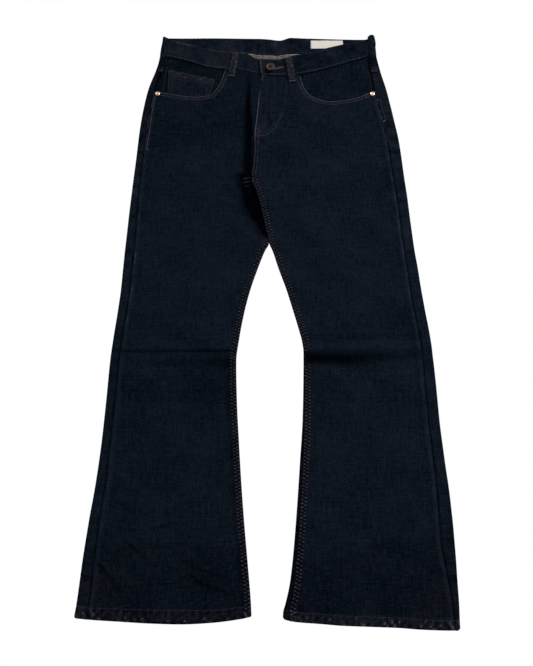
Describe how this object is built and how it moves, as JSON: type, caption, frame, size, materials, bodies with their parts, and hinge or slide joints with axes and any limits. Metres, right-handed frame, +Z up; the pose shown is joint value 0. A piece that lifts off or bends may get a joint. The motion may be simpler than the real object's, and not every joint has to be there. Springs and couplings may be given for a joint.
{
  "type": "bootcut jeans",
  "caption": "Dark indigo bootcut jeans laid flat front up: folded side edges, flared hems, curved front pockets with rivets, waistband with belt loops and a shank button.",
  "frame": {"origin": "on the surface the jeans lie on, under the middle of their box", "axes": "+Y from the hems towards the waist, +X to the right of a viewer looking at the front, +Z up off the surface, out of the front"},
  "size_m": [0.5688, 1.0978, 0.0155],
  "materials": {
    "denim": "very dark rinsed indigo twill, matte, slubby, with dull brown-grey topstitching",
    "copper": "aged rosy copper plating, darker in the recesses",
    "label": "plain cream woven label, bare",
    "tape": "dark woven zip tape"
  },
  "bodies": {
    "root": {"back_label": "label", "back_left": "denim", "back_right": "denim", "belt_loop_front_left": "denim", "belt_loop_front_right": "denim", "belt_loop_side_left": "denim", "belt_loop_side_right": "denim", "coin_pocket": "denim", "fly_zip": "tape", "front_left": "denim", "front_right": "denim", "pocket_facing_left": "denim", "pocket_facing_right": "denim", "rivet_left": "copper", "rivet_right": "copper", "waist_button": "copper", "waistband": "denim"}
  },
  "joints": []
}
